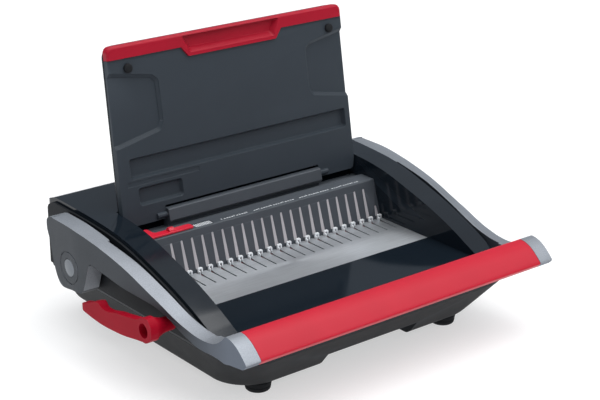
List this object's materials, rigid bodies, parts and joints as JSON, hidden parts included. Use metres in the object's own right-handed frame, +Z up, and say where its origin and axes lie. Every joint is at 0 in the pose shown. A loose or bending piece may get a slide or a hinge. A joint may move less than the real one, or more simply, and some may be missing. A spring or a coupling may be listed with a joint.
{
  "type": "comb binding machine",
  "caption": "Manual desktop comb binding machine: handle-driven punch, comb opener with lever and sliding hooks, hinged lid, edge guide and chip tray.",
  "frame": {"origin": "middle of the bottom of the bounding box, on the table", "axes": "+Z up, +X across the machine to the right as the user faces it, front towards -Y"},
  "size_m": [0.4764, 0.4118, 0.3331],
  "materials": {
    "base_plastic": "moulded, fine texture",
    "foot_rubber": "matt",
    "zinc_steel": "zinc plated",
    "black_gloss": "high gloss",
    "side_plastic": "matt",
    "comb_plate_metal": "satin sheet",
    "panel_plastic": "satin",
    "guide_red": "satin",
    "frame_steel": "rolled steel",
    "bush_brass": "satin",
    "silver_plastic": "metallic silver, satin",
    "grip_red": "satin",
    "lever_red": "satin",
    "nylon": "natural",
    "hook_metal": "bright",
    "tray_plastic": "fine texture",
    "lid_plastic": "satin",
    "bumper_rubber": "matt"
  },
  "bodies": {
    "base": {"base_tub": "base_plastic", "foot_front_left": "foot_rubber", "foot_front_right": "foot_rubber", "foot_rear_left": "foot_rubber", "foot_rear_right": "foot_rubber", "frame_screw_1": "zinc_steel", "frame_screw_2": "zinc_steel", "frame_screw_3": "zinc_steel", "frame_screw_4": "zinc_steel", "tie_rod_front": "zinc_steel", "tie_rod_rear": "zinc_steel", "idler_axle": "zinc_steel", "upper_cover": "black_gloss", "rear_cover": "black_gloss", "side_panel_left": "side_plastic", "side_panel_right": "side_plastic", "comb_plate": "comb_plate_metal", "grooved_back_panel": "panel_plastic", "hinge_block": "panel_plastic", "die_plate": "frame_steel", "punch_guide_plate": "frame_steel", "side_frame_left": "frame_steel", "side_frame_right": "frame_steel", "return_spring_left": "frame_steel", "return_spring_right": "frame_steel", "shaft_bush_left": "bush_brass", "shaft_bush_right": "bush_brass", "lever_bush": "bush_brass", "rack_guide_left": "nylon", "rack_guide_right": "nylon"},
    "handle": {"arm_left": "silver_plastic", "arm_right": "silver_plastic", "grip": "grip_red", "handle_core_tube": "frame_steel", "drive_shaft": "frame_steel", "pivot_cap_left": "silver_plastic", "pivot_cap_right": "silver_plastic", "drive_cam_left": "frame_steel", "drive_cam_right": "frame_steel"},
    "punch": {"punch_bar": "zinc_steel"},
    "lid": {"lid_inner_panel": "lid_plastic", "lid_outer_shell": "black_gloss", "lid_trim": "grip_red", "lid_bumper_left": "bumper_rubber", "lid_bumper_right": "bumper_rubber", "lid_hinge_pin_left": "zinc_steel", "lid_hinge_pin_right": "zinc_steel"},
    "lever": {"comb_lever": "lever_red", "lever_shaft": "frame_steel", "pinion": "bush_brass"},
    "idler": {"idler_gear": "nylon"},
    "comb_rack": {"comb_hook_rack": "hook_metal"},
    "guide": {"edge_guide": "guide_red"},
    "tray": {"chip_tray": "tray_plastic"}
  },
  "joints": [
    {"name": "handle_press", "type": "hinge", "parent": "base", "child": "handle", "pos_m": [0.00685, 0.11185, 0.09], "axis": [-1, 0, 0], "range_deg": [0, 60]},
    {"name": "punch_travel", "type": "slide", "parent": "base", "child": "punch", "axis": [0, 1, 0], "range_m": [0, 0.0081]},
    {"name": "lid_open", "type": "hinge", "parent": "base", "child": "lid", "pos_m": [0.00685, 0.08885, 0.134], "axis": [1, 0, 0], "range_deg": [0, 113]},
    {"name": "comb_lever_pull", "type": "hinge", "parent": "base", "child": "lever", "pos_m": [0.00685, -0.06075, 0.0798], "axis": [1, 0, 0], "range_deg": [0, 80]},
    {"name": "idler_spin", "type": "hinge", "parent": "base", "child": "idler", "pos_m": [0.00685, -0.03347, 0.06405], "axis": [1, 0, 0], "range_deg": [-161, 0]},
    {"name": "comb_rack_slide", "type": "slide", "parent": "base", "child": "comb_rack", "axis": [0, -1, 0], "range_m": [0, 0.0294]},
    {"name": "edge_guide_slide", "type": "slide", "parent": "base", "child": "guide", "axis": [1, 0, 0], "range_m": [-0.006, 0.006]},
    {"name": "chip_tray_pull", "type": "slide", "parent": "base", "child": "tray", "axis": [1, 0, 0], "range_m": [0, 0.25]}
  ],
  "couplings": [
    {"joint": "punch_travel", "follows": "handle_press", "m_per_rad": 0.0076394},
    {"joint": "idler_spin", "follows": "comb_lever_pull", "ratio": -2},
    {"joint": "comb_rack_slide", "follows": "comb_lever_pull", "m_per_rad": 0.021}
  ]
}
